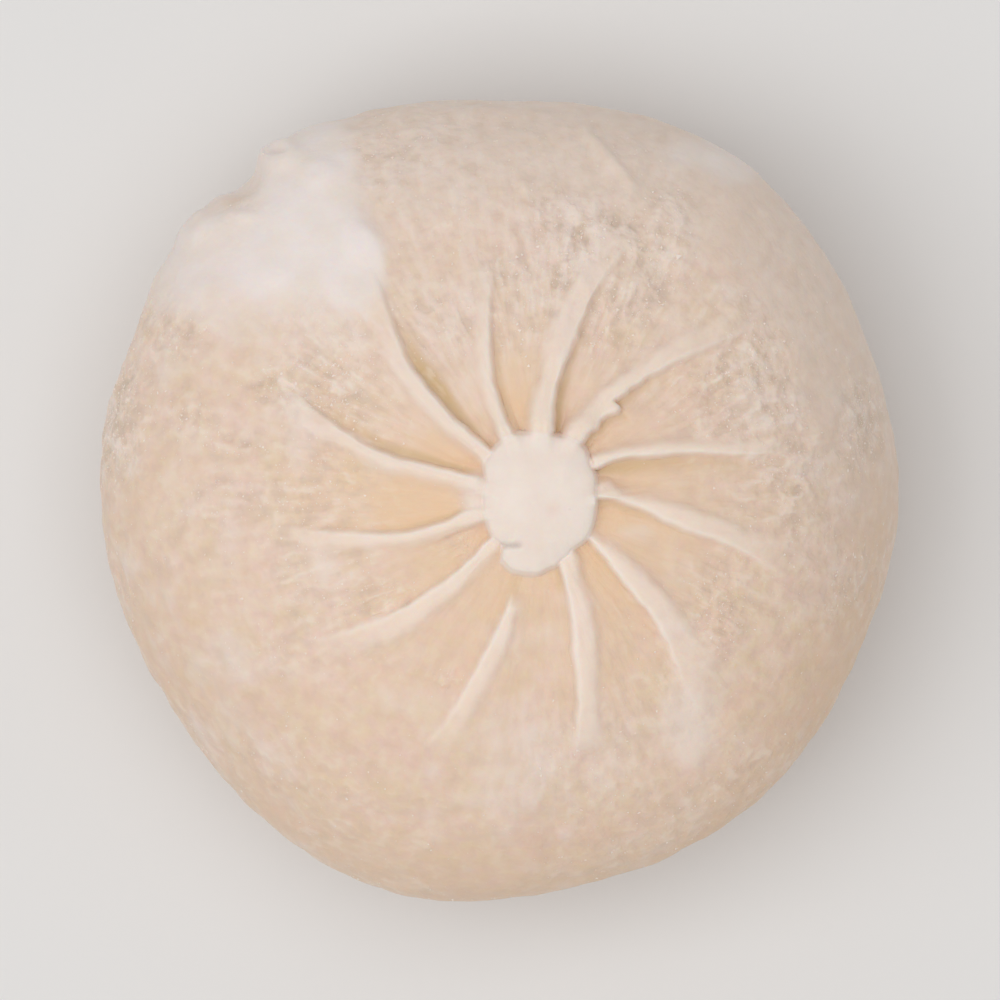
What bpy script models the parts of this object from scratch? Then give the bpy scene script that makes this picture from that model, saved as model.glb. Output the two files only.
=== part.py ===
"""A raw xiaolongbao: one ball of filled dough, gathered into swirling pleats under a pinched knot."""
import bpy
import numpy as np

MM = 0.001

# Outline seen from straight above, as its distance from the knot.
OUTLINE_RADIUS = 22.7 * MM
# Waves on that distance: how many round the outline, share of the radius, direction of a peak (degrees).
OUTLINE_WAVES = (
    (1, 0.105, 162.0),
    (2, 0.007, 82.0),
    (3, 0.010, 23.0),
    (4, 0.011, -32.0),
    (5, 0.005, -28.0),
    (6, 0.010, 4.0),
)
# Middle of the resting face, seen from the knot: the knot sits to one side of it.
BASE_OFFSET = (-2.3 * MM, 0.7 * MM)
BASE_RADIUS = 13.0 * MM
WIDEST_HEIGHT = 13.0 * MM
BODY_HEIGHT = 28.6 * MM
SHOULDER_POWER = 2.25
# Slow waves of the sides: how many round the body, height, and start (degrees).
SIDE_WAVES = ((2, 0.4 * MM, 52.0), (3, 0.28 * MM, 120.0))

# Pinched knot: a rounded pad with a small lobe, standing on a slightly narrower foot.
KNOT_RADIUS = 3.25 * MM
KNOT_TOP = 30.2 * MM
KNOT_CAP = 0.5 * MM
KNOT_CAP_POWER = 0.85
KNOT_UNDERCUT = 0.3 * MM
# Bulges of the knot's edge: direction and spread (degrees), share of the radius.
KNOT_BULGES = ((58.0, 28.0, 0.26), (130.0, 30.0, 0.25), (255.0, 26.0, 0.28))
# Distance over which the body next to the knot takes on the shape of the knot's edge.
KNOT_INFLUENCE = 2.5 * MM
# Short crease from the knot's left edge, with the lobe a little lower on its far side.
CREASE_Y = -2.4 * MM
CREASE_END_X = -0.6 * MM
CREASE_DEPTH = 0.3 * MM
CREASE_WIDTH = 0.35 * MM
LOBE_DROP = 0.15 * MM

# Pleats, anticlockwise from the right. Each row: direction of the crest at the three distances
# below (degrees), how far from the knot the pleat runs (mm), its height and width against the others.
CREST_DISTANCES = (4.2 * MM, 8.5 * MM, 13.8 * MM)
PLEATS = (
    (5.5, -5.0, -15.0, 14.6, 1.00, 1.00),
    (36.5, 23.3, 15.3, 15.0, 1.00, 0.95),
    (63.0, 51.5, 42.0, 16.4, 1.00, 1.30),
    (88.0, 82.5, 75.0, 16.4, 1.10, 1.40),
    (113.4, 108.5, 103.0, 14.0, 0.95, 0.80),
    (134.5, 137.0, 129.5, 17.2, 1.15, 1.20),
    (161.0, 164.0, 159.0, 16.6, 1.10, 0.95),
    (189.0, 192.0, 187.0, 15.0, 1.00, 1.00),
    (221.5, 219.2, 214.7, 15.4, 0.90, 1.00),
    (257.0, 254.0, 248.0, 15.4, 0.90, 0.95),
    (295.0, 287.8, 281.3, 14.8, 0.90, 1.10),
    (323.5, 319.0, 312.0, 17.2, 0.90, 1.20),
)
CREST_SWEEP = 13.0 * MM
PLEAT_HEIGHT = 1.25 * MM
PLEAT_TAPER = 0.35
# Rib along a crest: half widths on its gentle and its steep side, where it has the room.
RIB_GENTLE = 0.65 * MM
RIB_STEEP = 0.45 * MM
RIB_ROOM = 0.34
# Share of the height that slopes away over the whole panel between two crests.
PANEL_SHARE = 0.35
PANEL_SPREAD = 0.5
# Groove at the foot of the steep side, placed and sized in half widths of that side.
GROOVE_SHARE = 0.45
GROOVE_DISTANCE = 2.0
GROOVE_WIDTH = 0.85

# How finely the round is divided.
COLUMNS_PER_PLEAT = 12
COLUMN_GATHER = 0.55
CAP_RINGS = 6
WALL_RINGS = 2
BODY_RINGS = 20
SIDE_RINGS = 9
BODY_RING_SPREAD = 1.25


def clear_scene():
    """Removes every object and collection that is there already."""
    for item in list(bpy.data.objects):
        bpy.data.objects.remove(item, do_unlink=True)
    for group in list(bpy.data.collections):
        bpy.data.collections.remove(group)


def body_point(angle):
    """Distance from the axis and height on the upper body, for an angle down from the top."""
    power = 2.0 / SHOULDER_POWER
    distance = OUTLINE_RADIUS * np.sin(angle) ** power
    height = WIDEST_HEIGHT + (BODY_HEIGHT - WIDEST_HEIGHT) * np.cos(angle) ** power
    return distance, height


def foot_angle():
    """Angle down from the top at which the body meets the foot of the knot."""
    return np.arcsin(((KNOT_RADIUS - KNOT_UNDERCUT) / OUTLINE_RADIUS) ** (0.5 * SHOULDER_POWER))


def profile_points():
    """Half section from the middle of the knot, out over the body and down to the middle of the base."""
    points = [(0.0, KNOT_TOP)]
    for step in range(1, CAP_RINGS + 1):
        angle = 0.5 * np.pi * step / CAP_RINGS
        distance = KNOT_RADIUS * np.sin(angle) ** KNOT_CAP_POWER
        points.append((distance, KNOT_TOP - KNOT_CAP * (1.0 - np.cos(angle))))
    rim_height = KNOT_TOP - KNOT_CAP
    foot_height = body_point(foot_angle())[1]
    for step in range(1, WALL_RINGS + 1):
        share = step / WALL_RINGS
        height = rim_height + (foot_height - rim_height) * share
        points.append((KNOT_RADIUS - KNOT_UNDERCUT * share, height))
    for step in range(1, BODY_RINGS + 1):
        share = (step / BODY_RINGS) ** BODY_RING_SPREAD
        distance, height = body_point(foot_angle() + (0.5 * np.pi - foot_angle()) * share)
        points.append((distance, max(height, WIDEST_HEIGHT)))
    for step in range(1, SIDE_RINGS + 1):
        angle = 0.5 * np.pi * step / SIDE_RINGS
        distance = BASE_RADIUS + (OUTLINE_RADIUS - BASE_RADIUS) * np.cos(angle)
        points.append((distance, WIDEST_HEIGHT * (1.0 - np.sin(angle))))
    points.append((0.0, 0.0))
    return points


def turned_body():
    """The plain round body: the half section turned once round the upright axis."""
    points = profile_points()
    mesh = bpy.data.meshes.new("section")
    edges = [(i, i + 1) for i in range(len(points) - 1)]
    mesh.from_pydata([(x, 0.0, z) for x, z in points], edges, [])
    section = bpy.data.objects.new("section", mesh)
    bpy.context.scene.collection.objects.link(section)
    turn = section.modifiers.new("turn", "SCREW")
    turn.axis = "Z"
    turn.angle = 2.0 * np.pi
    turn.steps = COLUMNS_PER_PLEAT * len(PLEATS)
    turn.render_steps = turn.steps
    turn.use_merge_vertices = True
    turn.merge_threshold = 0.00001
    turn.use_normal_calculate = True
    graph = bpy.context.evaluated_depsgraph_get()
    turned = bpy.data.meshes.new_from_object(section.evaluated_get(graph))
    bpy.data.objects.remove(section, do_unlink=True)
    return turned


def sweep(distance):
    """Distance along which the crests bend; it levels off towards the sides."""
    return CREST_SWEEP * np.tanh(distance / CREST_SWEEP)


def crest_direction(number, distance):
    """Direction of a numbered crest at a distance from the knot: a smooth bend through its row."""
    places = sweep(np.array(CREST_DISTANCES))
    rows = np.array(PLEATS)[:, :3].T
    bends = np.linalg.solve(np.vander(places, 3), rows)
    count = len(PLEATS)
    along = sweep(distance)
    chosen = bends[:, number % count]
    return chosen[0] * along ** 2 + chosen[1] * along + chosen[2] + 360.0 * (number // count)


def turn_between(first, second):
    """Smallest difference between two directions in degrees."""
    return (first - second + 180.0) % 360.0 - 180.0


def outline_share(direction):
    """How much further than the mean the outline lies from the knot in a direction."""
    share = np.zeros_like(direction)
    for count, size, peak in OUTLINE_WAVES:
        share += size * np.cos(np.radians(count * (direction - peak)))
    return share


def knot_share(direction):
    """How much further than its least radius the knot's edge lies in a direction."""
    share = np.zeros_like(direction)
    for heading, spread, size in KNOT_BULGES:
        share += size * np.exp(-(turn_between(direction, heading) / spread) ** 2)
    return share


def stretched(distance, direction):
    """Distance from the knot after the round plan is drawn out to the knot's and the outline's shapes."""
    beyond = np.maximum(distance - KNOT_RADIUS, 0.0)
    near = np.exp(-(beyond / KNOT_INFLUENCE) ** 2)
    far = distance / OUTLINE_RADIUS
    return distance * (1.0 + knot_share(direction) * near + outline_share(direction) * far)


def pleat_relief(number, share, distance):
    """Height of the dough over the plain round: a rounded rib, steep on its clockwise side, and a groove."""
    count = len(PLEATS)
    rows = np.array(PLEATS)
    gap = crest_direction(number + 1, distance) - crest_direction(number, distance)
    spacing = np.radians(gap) * distance
    start = KNOT_RADIUS - KNOT_UNDERCUT

    def size(row):
        out = np.clip((distance - start) / (rows[row, 3] * MM - start), 0.0, 1.0)
        return rows[row, 4] * PLEAT_HEIGHT * (1.0 - out ** 2) * (1.0 - PLEAT_TAPER * out)

    def rib(row, half_width):
        return np.minimum(half_width * rows[row, 5], RIB_ROOM * spacing)

    behind = number % count
    ahead = (number + 1) % count
    steep = rib(ahead, RIB_STEEP)
    after = share * spacing / rib(behind, RIB_GENTLE)
    before = (1.0 - share) * spacing / steep
    panel = PANEL_SHARE * np.exp(-(share / PANEL_SPREAD) ** 2)
    gentle = panel + (1.0 - PANEL_SHARE) * np.exp(-after ** 2)
    drop = np.exp(-before ** 3)
    groove = GROOVE_SHARE * np.exp(-((before - GROOVE_DISTANCE) / GROOVE_WIDTH) ** 2)
    return size(behind) * gentle + size(ahead) * (drop - groove)


def knot_relief(x, y):
    """Height change on the knot: a short crease from its edge, and the small lobe just below the pad."""
    left = 0.5 - 0.5 * np.tanh((x - CREASE_END_X) / CREASE_WIDTH)
    crease = CREASE_DEPTH * left * np.exp(-((y - CREASE_Y) / CREASE_WIDTH) ** 2)
    lobe = LOBE_DROP * (0.5 - 0.5 * np.tanh((y - CREASE_Y) / CREASE_WIDTH))
    return -crease - lobe


def shape(mesh):
    """Moves the plain round's points into the swirl of pleats, the knot and the uneven outline."""
    count = len(mesh.vertices)
    points = np.empty(count * 3)
    mesh.vertices.foreach_get("co", points)
    points = points.reshape(count, 3)
    turned = np.arctan2(points[:, 1], points[:, 0]) % (2.0 * np.pi)
    round_distance = np.hypot(points[:, 0], points[:, 1])
    height = points[:, 2]

    # Each column of points keeps its place between two crests, closer together beside a crest.
    place = turned / (2.0 * np.pi) * len(PLEATS)
    number = np.floor(place + 1e-6).astype(int)
    share = np.clip(place - number, 0.0, 1.0)
    share = share - COLUMN_GATHER / (2.0 * np.pi) * np.sin(2.0 * np.pi * share)

    upper = height >= WIDEST_HEIGHT - 1e-7
    drawn_in = np.where(upper, 1.0, round_distance / OUTLINE_RADIUS)
    plain = np.where(upper, round_distance, OUTLINE_RADIUS)
    distance = plain
    for _ in range(3):
        start = crest_direction(number, distance)
        direction = start + share * (crest_direction(number + 1, distance) - start)
        distance = stretched(plain, direction)
    heading = np.radians(direction)
    x = BASE_OFFSET[0] * (1.0 - drawn_in) + drawn_in * distance * np.cos(heading)
    y = BASE_OFFSET[1] * (1.0 - drawn_in) + drawn_in * distance * np.sin(heading)

    # The relief stands square to the round body and dies out up the wall of the knot.
    rim_height = KNOT_TOP - KNOT_CAP
    foot_height = body_point(foot_angle())[1]
    on_knot = height > foot_height + 1e-7
    wall = np.clip((height - foot_height) / (rim_height - foot_height), 0.0, 1.0)
    fade = np.where(on_knot, 1.0 - wall, 1.0) * upper
    relief = pleat_relief(number, share, np.maximum(distance, KNOT_RADIUS - KNOT_UNDERCUT)) * fade
    outward = round_distance / OUTLINE_RADIUS ** 2
    upward = (height - WIDEST_HEIGHT) / (BODY_HEIGHT - WIDEST_HEIGHT) ** 2
    length = np.maximum(np.hypot(outward, upward), 1e-9)
    outward = np.where(on_knot | ~upper, 0.0, outward / length)
    upward = np.where(on_knot, 1.0, upward / length)

    # Slow unevenness of a hand-closed ball, above and below its widest line.
    swell = np.sin(np.pi * np.clip(height / WIDEST_HEIGHT, 0.0, 2.0))
    side = np.zeros_like(height)
    for waves, size, start in SIDE_WAVES:
        side += swell * size * np.sin(waves * heading + np.radians(start))

    z = height + relief * upward + knot_relief(x, y) * on_knot * wall
    x += (relief * outward + side) * np.cos(heading)
    y += (relief * outward + side) * np.sin(heading)
    x -= 0.5 * (x.max() + x.min())
    y -= 0.5 * (y.max() + y.min())
    mesh.vertices.foreach_set("co", np.column_stack((x, y, z)).ravel())
    mesh.update()


def dough_material():
    """Matt wheat dough, pale beige."""
    material = bpy.data.materials.new("dough")
    material.use_nodes = True
    shader = material.node_tree.nodes["Principled BSDF"]
    shader.inputs["Base Color"].default_value = (0.72, 0.56, 0.44, 1.0)
    shader.inputs["Roughness"].default_value = 0.75
    return material


clear_scene()
parts = bpy.data.collections.new("xiaolongbao")
bpy.context.scene.collection.children.link(parts)
dumpling_mesh = turned_body()
dumpling_mesh.name = "dumpling"
shape(dumpling_mesh)
dumpling_mesh.polygons.foreach_set("use_smooth", [True] * len(dumpling_mesh.polygons))
dumpling_mesh.materials.append(dough_material())
dumpling = bpy.data.objects.new("dumpling", dumpling_mesh)
parts.objects.link(dumpling)
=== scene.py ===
"""A raw frozen xiaolongbao: the pleated dough ball, the frost that has grown on it, and a plain studio."""
import bpy
import numpy as np
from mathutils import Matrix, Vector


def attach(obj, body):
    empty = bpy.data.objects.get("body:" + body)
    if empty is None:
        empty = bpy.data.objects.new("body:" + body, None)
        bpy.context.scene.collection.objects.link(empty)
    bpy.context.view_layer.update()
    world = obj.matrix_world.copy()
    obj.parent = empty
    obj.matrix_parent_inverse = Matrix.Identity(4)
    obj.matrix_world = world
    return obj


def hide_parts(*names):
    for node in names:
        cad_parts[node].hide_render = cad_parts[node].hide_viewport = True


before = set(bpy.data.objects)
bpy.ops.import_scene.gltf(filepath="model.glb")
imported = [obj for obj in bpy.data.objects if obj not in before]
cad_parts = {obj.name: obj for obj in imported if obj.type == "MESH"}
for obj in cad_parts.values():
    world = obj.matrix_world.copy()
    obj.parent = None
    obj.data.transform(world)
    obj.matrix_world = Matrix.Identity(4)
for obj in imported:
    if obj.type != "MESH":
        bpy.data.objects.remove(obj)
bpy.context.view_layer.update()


# Dumpling: one thin round wrapper of wheat dough, closed round its filling. The rim is gathered by hand into
# twelve pleats that swirl clockwise going outward, and pinched into a knot beside the middle. Frozen raw, the
# dough is matt and pale, warmer in the folds than on the frosted shoulders: partly its own unfrosted
# colour and partly painted bounce light, with painted shade in the deep folds beside the ribs.
MM = 0.001
PLEAT_COUNT = 12
OUTLINE_RADIUS = 22.7 * MM
# Waves of the outline: how many round it, share of the radius, direction of a peak (degrees).
OUTLINE_WAVES = (
    (1, 0.105, 162.0),
    (2, 0.007, 82.0),
    (3, 0.010, 23.0),
    (4, 0.011, -32.0),
    (5, 0.005, -28.0),
    (6, 0.010, 4.0),
)
BASE_OFFSET = (-2.3 * MM, 0.7 * MM)
BASE_RADIUS = 13.0 * MM
WIDEST_HEIGHT = 13.0 * MM
BODY_HEIGHT = 28.6 * MM
SHOULDER_POWER = 2.25
SIDE_WAVES = ((2, 0.4 * MM, 52.0), (3, 0.28 * MM, 120.0))

KNOT_RADIUS = 3.25 * MM
KNOT_TOP = 30.2 * MM
KNOT_CAP = 0.75 * MM
KNOT_CAP_POWER = 0.92
KNOT_SPREAD = 0.20 * MM
KNOT_FOOT = KNOT_RADIUS + KNOT_SPREAD
# Readings of the knot's foot: headings round the knot's middle (degrees), and how far the foot lies from it
# there (mm). A notch cuts in at 227 degrees, where the end of the last pleat was folded under.
KNOT_EDGE = np.array((
    (-7.0, 3.35), (8.0, 3.38), (32.0, 3.75), (57.0, 4.30), (86.0, 4.12), (115.0, 4.36), (139.0, 4.14),
    (160.0, 3.42), (193.0, 3.27), (214.0, 3.36), (227.0, 3.26), (237.0, 4.02), (248.0, 4.22), (266.0, 4.12),
    (283.0, 3.78), (296.0, 3.50), (308.0, 3.28), (326.0, 3.42), (353.0, 3.35),
)).T
KNOT_INFLUENCE = 2.5 * MM
# Crease in the knot: middle, half length, half width and depth. Dent: middle, half size and depth.
CREASE = (-1.58 * MM, -2.30 * MM, 0.60 * MM, 0.13 * MM, 0.30 * MM)
LOBE_DROP = 0.16 * MM
LOBE_SLOPE = 0.35 * MM
DENT = (0.8 * MM, -0.28 * MM, 0.45 * MM, 0.05 * MM)
# Ledge of dough beside the knot: heading and half spread (degrees), how far it reaches out, and how high it
# lies as a share of the knot's own rise.
COLLAR = (171.0, 21.0, 0.80 * MM, 0.93)
COLLAR_EDGE = 0.36 * MM
COLLAR_PALE = 0.7
# Where the knot flows into a rib without an edge: heading, half spread (degrees) and how fully. The flow
# fills a share of the drop at the knot's rounded edge, and dies out over its reach.
FLOWS = (
    (88.0, 10.0, 1.0), (114.0, 8.0, 0.8), (63.0, 8.0, 0.7), (163.0, 9.0, 0.6), (190.0, 8.0, 0.6),
    (5.0, 7.0, 0.5),
)
FLOW_REACH = 1.2 * MM
FLOW_FILLS = 0.85
# Ribs rise no higher than this share of the knot's rise at its foot, and this slope outward from there.
CEILING_SHARE = 1.05
CEILING_SLOPE = 2.0

# Pleats: direction of the crest at three distances from the knot's middle (degrees), reach (mm), height as a
# share of a full band's, and how bluntly it ends (the power by which it dies out).
CREST_DISTANCES = (4.2 * MM, 8.5 * MM, 13.8 * MM)
PLEATS = np.array((
    (6.2, -5.6, -12.0, 14.8, 0.85, 3.0),
    (36.5, 21.6, 13.8, 15.0, 0.95, 3.0),
    (63.0, 52.3, 43.2, 16.4, 1.05, 3.0),
    (88.0, 83.8, 75.8, 16.4, 1.10, 3.0),
    (115.0, 111.0, 102.0, 14.0, 0.95, 3.0),
    (137.8, 137.0, 130.7, 16.2, 1.15, 3.0),
    (161.0, 164.0, 159.0, 16.6, 1.05, 3.0),
    (193.0, 192.8, 187.4, 15.0, 0.90, 3.0),
    (222.0, 221.6, 215.0, 15.4, 0.80, 3.0),
    (257.0, 253.4, 248.3, 15.4, 0.78, 4.0),
    (295.4, 287.6, 281.8, 14.2, 0.85, 12.0),
    (327.0, 319.8, 313.2, 15.0, 0.80, 3.0),
))
CREST_SWEEP = 13.0 * MM
PLEAT_TAPER = 0.35
# Each rib is a flat-topped band: its width at the knot and at its end, how much wider it flares at the knot
# on its gentle and its steep side, and where it starts (all mm). Then the fold at the foot of its steep
# side, cut in and also painted in shade: how deep it is (a share), how far out it reaches and how wide it is
# at the knot (both mm), and what it gains in width a millimetre outward. Last, how warm the panel behind the
# rib is (a share), a warmth that is partly the unfrosted dough's own and partly painted bounce light, and
# how far beyond the knot's foot the fold is deepest (mm).
RIB_BANDS = np.array((
    (0.55, 1.90, 0.95, 0.00, 3.0, 0.50, 4.0, 0.22, 0.04, 0.8, 0.0),
    (0.65, 1.00, 0.00, 0.10, 3.0, 0.90, 5.5, 0.15, 0.32, 0.6, 0.0),
    (1.25, 2.20, 0.15, 0.00, 3.0, 0.70, 6.5, 0.22, 0.04, 0.3, 0.0),
    (1.20, 1.80, 0.25, 0.15, 3.0, 1.00, 6.5, 0.40, -0.02, 1.3, 0.0),
    (0.65, 1.00, 0.20, 0.20, 3.0, 0.50, 8.0, 0.20, 0.05, 0.2, 0.0),
    (0.80, 1.35, 0.10, 0.15, 3.0, 1.20, 3.6, 0.14, 0.10, 1.2, 5.2),
    (0.75, 1.20, 0.45, 0.10, 3.0, 0.80, 7.0, 0.20, 0.05, 2.6, 2.5),
    (0.70, 1.00, 0.05, 0.40, 3.0, 0.60, 6.5, 0.16, 0.03, 0.7, 0.0),
    (0.85, 1.70, 0.00, 0.00, 3.0, 0.30, 3.0, 0.22, 0.05, 0.8, 0.0),
    (0.75, 1.40, 0.00, 0.00, 5.9, 0.30, 3.5, 0.22, 0.05, 0.6, 0.0),
    (1.15, 1.40, 0.10, 0.00, 3.3, 0.45, 4.0, 0.22, 0.05, 1.2, 0.0),
    (0.60, 2.60, 0.00, 0.00, 3.0, 0.35, 4.0, 0.22, 0.05, 1.1, 0.0),
))
BAND_HEIGHT = 0.98 * MM
BAND_ROOM = 0.36
BAND_SLOPE_GENTLE = 0.28 * MM
BAND_SLOPE_STEEP = 0.11 * MM
SLOPE_ROOM = 0.11
FLARE_REACH = 0.9 * MM
PANEL_SHARE = 0.35
PANEL_SPREAD = 0.5
GROOVE_SHARE = 0.42
FOLD_NARROWEST = 0.12 * MM
FOLD_WIDEST = 0.72 * MM
# A rib has risen fully where it starts, over this stretch before it (mm).
RIB_BEGINS_OVER = 0.8
# Pale brink of a rib's steep side, a painted highlight on its frosted edge: how far inside the edge it runs,
# and its half width.
BRINK_INSIDE = 0.13 * MM
BRINK_WIDTH = 0.15 * MM
# Warmth of the panels: its share along the ribs, its share beside the knot, and how far the second reaches.
WARM_ALONG = 0.36
WARM_BY_KNOT = 0.55
WARM_REACH = 4.0 * MM
# Torn edge of the third rib: distance from the knot, and the rib's half width there on its steep side (mm).
TORN_RIB = 2
TORN_EDGE = np.array((
    (3.0, 0.50), (4.3, 0.58), (4.9, 0.46), (5.4, 0.66), (5.8, 0.52), (6.3, 0.60), (6.9, 0.92), (7.15, 0.20),
    (7.9, 0.30), (8.2, 0.18), (8.9, 0.32), (9.2, 0.22), (10.1, 0.38), (10.5, 0.30), (14.0, 0.45),
)).T
# Hand-made unevenness of each rib: sideways wobble, shares of its height, width and edges, and the lengths
# along the rib over which each varies.
RIB_WOBBLE = 0.05 * MM
RIB_WOBBLE_SPANS = (0.75 * MM, 1.6 * MM)
RIB_WOBBLE_ENDS = 17.0 * MM
RIB_HEIGHT_VARIES = 0.10
RIB_HEIGHT_SPAN = 1.3 * MM
RIB_WIDTH_VARIES = 0.10
RIB_WIDTH_SPAN = 1.1 * MM
RIB_EDGE_VARIES = 0.03
RIB_EDGE_SPANS = (0.31 * MM, 0.19 * MM)

COLUMNS_PER_PLEAT = 48
COLUMN_GATHER = 0.35
CAP_RINGS = 33
WALL_RINGS = 7
BODY_RINGS = 102
BODY_RING_GATHER = 1.25
SIDE_RINGS = 26
BASE_RINGS = 6
NOISE_CELLS = 48


def rising(value, start, over):
    """Share that climbs evenly from 0 at the start to 1 once the value is past it by the given stretch."""
    return np.clip((value - start) / over, 0.0, 1.0)


def falling(value, end, over):
    """Share that drops evenly from 1 to 0 over the given stretch before the end."""
    return np.clip((end - value) / over, 0.0, 1.0)


def inside(value, edge, slope):
    """Share that is 1 well before an edge and 0 well past it, with a soft step (a tanh) between."""
    return 0.5 - 0.5 * np.tanh((value - edge) / slope)


def eased(share):
    """Share that starts and ends level: three times its square less twice its cube."""
    return share * share * (3.0 - 2.0 * share)


def noise(points, size, seed):
    """Smooth noise from -1 to 1: a random value at each corner of a cubic lattice of the given size,
    blended over the eight corners round a point by its eased place in the cell."""
    values = np.random.default_rng(seed).uniform(-1.0, 1.0, (NOISE_CELLS, NOISE_CELLS, NOISE_CELLS))
    place = points / size
    cell = np.floor(place).astype(int)
    share = eased(place - cell)
    total = np.zeros(len(points))
    for corner in np.ndindex(2, 2, 2):
        step = np.array(corner)
        weight = np.prod(np.where(step == 1, share, 1.0 - share), axis=1)
        index = (cell + step) % NOISE_CELLS
        total += weight * values[index[:, 0], index[:, 1], index[:, 2]]
    return total


def along_ribs(direction, way, across, along, seed):
    """Noise drawn out along the pleats: the noise above on a drum, with the direction as its turn and the
    way down the half section as its height."""
    turn = np.radians(direction)
    drum = np.column_stack((across * np.cos(turn), across * np.sin(turn), way / along))
    return noise(drum, 1.0, seed)


def half_section(down):
    """Distance and height of the plain round body. down runs 0 to 1 over the knot's rounded top, to 2 down
    its wall, to 3 over the shoulder (a superellipse), to 4 down the side (an ellipse), to 5 over the base."""
    cap = 0.5 * np.pi * np.clip(down, 0.0, 1.0)
    wall = np.clip(down - 1.0, 0.0, 1.0)
    shoulder = np.clip(down - 2.0, 0.0, 1.0)
    side = 0.5 * np.pi * np.clip(down - 3.0, 0.0, 1.0)
    base = np.clip(down - 4.0, 0.0, 1.0)
    power = 2.0 / SHOULDER_POWER
    foot = np.arcsin((KNOT_FOOT / OUTLINE_RADIUS) ** (1.0 / power))
    angle = foot + (0.5 * np.pi - foot) * shoulder
    rise = BODY_HEIGHT - WIDEST_HEIGHT
    shoulder_height = WIDEST_HEIGHT + rise * np.maximum(np.cos(angle), 0.0) ** power
    foot_height = WIDEST_HEIGHT + rise * np.cos(foot) ** power
    rim_height = KNOT_TOP - KNOT_CAP
    zones = [down <= 1.0, down <= 2.0, down <= 3.0, down <= 4.0]
    distance = np.select(zones, [
        KNOT_RADIUS * np.sin(cap) ** KNOT_CAP_POWER,
        KNOT_RADIUS + KNOT_SPREAD * wall,
        OUTLINE_RADIUS * np.sin(angle) ** power,
        BASE_RADIUS + (OUTLINE_RADIUS - BASE_RADIUS) * np.cos(side),
    ], BASE_RADIUS * (1.0 - base))
    height = np.select(zones, [
        KNOT_TOP - KNOT_CAP * (1.0 - np.cos(cap)),
        rim_height + (foot_height - rim_height) * wall,
        shoulder_height,
        WIDEST_HEIGHT * (1.0 - np.sin(side)),
    ], 0.0)
    return distance, height


def length_along(distance, height):
    """Length of a line of points from its first one to each: its steps, summed."""
    return np.concatenate(([0.0], np.cumsum(np.hypot(np.diff(distance), np.diff(height)))))


def way_down(down):
    """Length of the half section from the middle of the knot's top to a place on it."""
    fine = np.linspace(0.0, 5.0, 10001)
    return np.interp(down, fine, length_along(*half_section(fine)))


def sweep(distance):
    """Distance along which the crests bend; it levels off towards the sides."""
    return CREST_SWEEP * np.tanh(distance / CREST_SWEEP)


def crest_direction(number, distance):
    """Direction of a numbered crest: a square bend through its three readings, and a slow sideways wobble
    that dies out past the pleats."""
    bends = np.linalg.solve(np.vander(sweep(np.array(CREST_DISTANCES)), 3), PLEATS[:, :3].T)
    along = sweep(distance)
    chosen = bends[:, number % PLEAT_COUNT]
    plain = chosen[0] * along ** 2 + chosen[1] * along + chosen[2] + 360.0 * (number // PLEAT_COUNT)
    own = number % PLEAT_COUNT * 2.4
    sway = 0.6 * np.sin(distance / RIB_WOBBLE_SPANS[0] + own)
    sway += np.sin(distance / RIB_WOBBLE_SPANS[1] + 1.7 * own)
    fade = rising(distance, KNOT_RADIUS, 2.0 * MM) * np.exp(-(distance / RIB_WOBBLE_ENDS) ** 6)
    return plain + np.degrees(RIB_WOBBLE * sway * fade / np.maximum(distance, KNOT_RADIUS))


def turn_between(first, second):
    """Smallest difference between two directions in degrees."""
    return (first - second + 180.0) % 360.0 - 180.0


def near_heading(direction, toward, spread):
    """Flat-topped bell over the direction: it falls off as the fourth power of the turn from a heading."""
    return np.exp(-(turn_between(direction, toward) / spread) ** 4)


def knot_edge(direction):
    """Distance of the knot's foot from its middle: the readings round it, joined by eased steps."""
    headings, reaches = KNOT_EDGE
    first = headings[0]
    place = np.interp((direction - first) % 360.0 + first, headings, np.arange(len(headings)))
    before = np.minimum(place.astype(int), len(headings) - 2)
    share = eased(place - before)
    return MM * (reaches[before] + share * (reaches[before + 1] - reaches[before]))


def stretched(distance, direction):
    """Distance from the knot once the round plan is drawn out: near the knot to the readings of its edge,
    and far from it by the waves of the outline."""
    outline = np.zeros_like(direction)
    for count, size, peak in OUTLINE_WAVES:
        outline += size * np.cos(np.radians(count * (direction - peak)))
    bulge = knot_edge(direction) / KNOT_FOOT - 1.0 - outline * KNOT_FOOT / OUTLINE_RADIUS
    near = np.exp(-(np.maximum(distance - KNOT_RADIUS, 0.0) / KNOT_INFLUENCE) ** 2)
    return distance * (1.0 + bulge * near + outline * distance / OUTLINE_RADIUS)


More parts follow.
